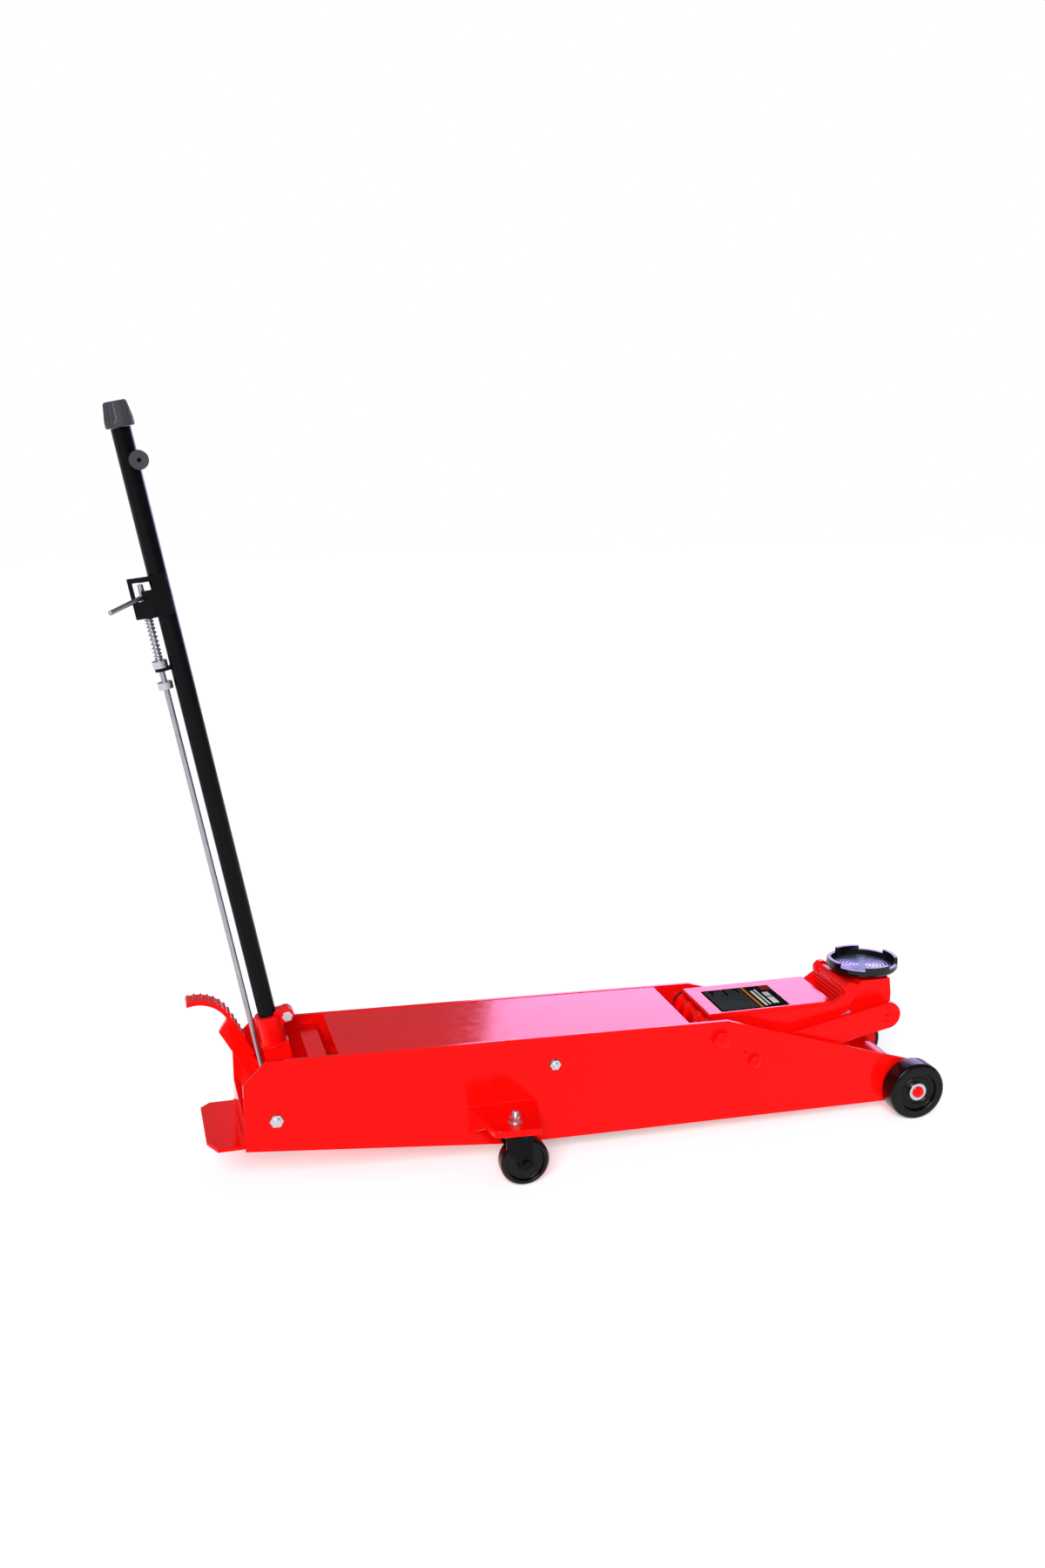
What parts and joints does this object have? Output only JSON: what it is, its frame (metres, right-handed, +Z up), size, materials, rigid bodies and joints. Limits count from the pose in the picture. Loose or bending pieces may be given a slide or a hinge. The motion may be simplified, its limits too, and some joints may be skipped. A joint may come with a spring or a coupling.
{
  "type": "floor jack",
  "caption": "Long-chassis hydraulic floor jack with a parallel-link lift arm, round saddle, upright pump handle with lock rod, foot pedal and casters.",
  "frame": {"origin": "on the floor under the middle of the whole jack's box", "axes": "+X forward to the saddle along the chassis, +Y to the jack's left, +Z up"},
  "size_m": [1.6901, 0.491, 1.5145],
  "materials": {
    "red_paint": "glossy clear-coated red enamel",
    "black_paint": "gloss black enamel",
    "black_plastic": "hard gloss black",
    "grey_plastic": "satin dark grey",
    "zinc_steel": "bright zinc plated",
    "chrome_steel": "hard chrome",
    "dark_steel": "oiled dark steel"
  },
  "bodies": {
    "chassis": {"side_plate_right": "red_paint", "side_plate_left": "red_paint", "top_cover": "red_paint", "bay_plate": "red_paint", "rear_step": "red_paint", "rear_cross_plate": "red_paint", "front_cross_tube": "red_paint", "front_mount_plate": "red_paint", "rear_mount_plate": "red_paint", "tie_rod": "zinc_steel", "caster_bracket_right": "red_paint", "caster_bracket_left": "red_paint", "kingpins": "zinc_steel", "front_axle": "red_paint", "axle_rings": "zinc_steel", "arm_shaft": "red_paint", "arm_shaft_spacers": "dark_steel", "link_bolts": "red_paint", "handle_shaft": "zinc_steel", "lock_quadrant": "dark_steel", "pump_casting": "red_paint", "reservoir": "red_paint", "lift_cylinder": "dark_steel", "cylinder_gland": "zinc_steel"},
    "front_wheel_right": {"front_wheel_right": "black_plastic"},
    "front_wheel_left": {"front_wheel_left": "black_plastic"},
    "caster_fork_right": {"caster_fork_right": "black_paint", "caster_axle_right": "zinc_steel"},
    "caster_fork_left": {"caster_fork_left": "black_paint", "caster_axle_left": "zinc_steel"},
    "caster_wheel_right": {"caster_wheel_right": "black_plastic"},
    "caster_wheel_left": {"caster_wheel_left": "black_plastic"},
    "lift_arm": {"arm_cheek_right": "red_paint", "arm_cheek_left": "red_paint", "arm_top_plate": "red_paint", "arm_hub": "red_paint", "arm_lever": "red_paint", "lever_roller": "zinc_steel", "arm_front_pin": "zinc_steel"},
    "link_right": {"link_right": "red_paint"},
    "link_left": {"link_left": "red_paint"},
    "saddle_block": {"saddle_block": "red_paint", "link_pin": "zinc_steel"},
    "saddle": {"saddle": "black_paint"},
    "ram": {"ram": "chrome_steel"},
    "handle": {"handle_socket": "red_paint", "cam_roller": "zinc_steel", "socket_bolt": "zinc_steel", "handle_tube": "black_paint", "side_grip": "grey_plastic", "latch_bracket": "black_paint", "guide_tab": "black_paint", "latch_spring": "zinc_steel"},
    "release_knob": {"release_knob": "grey_plastic", "release_rod": "zinc_steel"},
    "lock_rod": {"lock_rod": "zinc_steel", "lock_collars": "zinc_steel", "cross_handle": "zinc_steel"},
    "foot_pedal": {"foot_pedal": "red_paint"},
    "pump_plunger": {"pump_plunger": "chrome_steel"}
  },
  "joints": [
    {"name": "arm_lift", "type": "hinge", "parent": "chassis", "child": "lift_arm", "pos_m": [0.33282, 0, 0.216], "axis": [0, -1, 0], "range_deg": [-18, 46]},
    {"name": "link_right_swing", "type": "hinge", "parent": "chassis", "child": "link_right", "pos_m": [0.41082, -0.09, 0.158], "axis": [0, -1, 0], "range_deg": [-19, 47]},
    {"name": "link_left_swing", "type": "hinge", "parent": "chassis", "child": "link_left", "pos_m": [0.41082, 0.09, 0.158], "axis": [0, -1, 0], "range_deg": [-19, 47]},
    {"name": "block_level", "type": "hinge", "parent": "lift_arm", "child": "saddle_block", "pos_m": [0.65073, 0, 0.27751], "axis": [0, -1, 0], "range_deg": [-47, 19]},
    {"name": "saddle_turn", "type": "hinge", "parent": "saddle_block", "child": "saddle", "pos_m": [0.71373, 0, 0.302], "axis": [0, 0, 1], "continuous": true},
    {"name": "ram_slide", "type": "slide", "parent": "chassis", "child": "ram", "axis": [1, 0, 0], "range_m": [-0.0295, 0.075]},
    {"name": "front_wheel_right_roll", "type": "hinge", "parent": "chassis", "child": "front_wheel_right", "pos_m": [0.77482, -0.1405, 0.0635], "axis": [0, 1, 0], "continuous": true},
    {"name": "front_wheel_left_roll", "type": "hinge", "parent": "chassis", "child": "front_wheel_left", "pos_m": [0.77482, 0.1405, 0.0635], "axis": [0, 1, 0], "continuous": true},
    {"name": "caster_right_swivel", "type": "hinge", "parent": "chassis", "child": "caster_fork_right", "pos_m": [-0.13918, -0.2035, 0.109], "axis": [0, 0, 1], "continuous": true},
    {"name": "caster_left_swivel", "type": "hinge", "parent": "chassis", "child": "caster_fork_left", "pos_m": [-0.13918, 0.2035, 0.109], "axis": [0, 0, 1], "continuous": true},
    {"name": "caster_wheel_right_roll", "type": "hinge", "parent": "caster_fork_right", "child": "caster_wheel_right", "pos_m": [-0.12218, -0.2035, 0.05], "axis": [0, 1, 0], "continuous": true},
    {"name": "caster_wheel_left_roll", "type": "hinge", "parent": "caster_fork_left", "child": "caster_wheel_left", "pos_m": [-0.12218, 0.2035, 0.05], "axis": [0, 1, 0], "continuous": true},
    {"name": "handle_pump", "type": "hinge", "parent": "chassis", "child": "handle", "pos_m": [-0.59668, 0, 0.1546], "axis": [0, -1, 0], "range_deg": [-8, 45]},
    {"name": "release_turn", "type": "hinge", "parent": "handle", "child": "release_knob", "pos_m": [-0.56258, 0, 0.16104], "axis": [-0.1857, 0, 0.9826], "range_deg": [-30, 150]},
    {"name": "lock_lift", "type": "slide", "parent": "handle", "child": "lock_rod", "axis": [-0.1857, 0, 0.9826], "range_m": [0, 0.018], "stiffness_N_per_m": 700, "springref_m": -0.03, "deforming": ["latch_spring"]},
    {"name": "pedal_press", "type": "hinge", "parent": "chassis", "child": "foot_pedal", "pos_m": [-0.59668, 0.052, 0.1546], "axis": [0, -1, 0], "range_deg": [0, 20], "stiffness_Nm_per_rad": 12, "springref_deg": -20.05},
    {"name": "plunger_slide", "type": "slide", "parent": "chassis", "child": "pump_plunger", "axis": [1, 0, 0], "range_m": [-0.0055, 0.029]}
  ],
  "couplings": [
    {"joint": "link_right_swing", "follows": "arm_lift", "ratio": 1},
    {"joint": "link_left_swing", "follows": "arm_lift", "ratio": 1},
    {"joint": "block_level", "follows": "arm_lift", "ratio": -1},
    {"joint": "ram_slide", "follows": "arm_lift", "m_per_rad": 0.0901},
    {"joint": "plunger_slide", "follows": "handle_pump", "m_per_rad": 0.036}
  ]
}
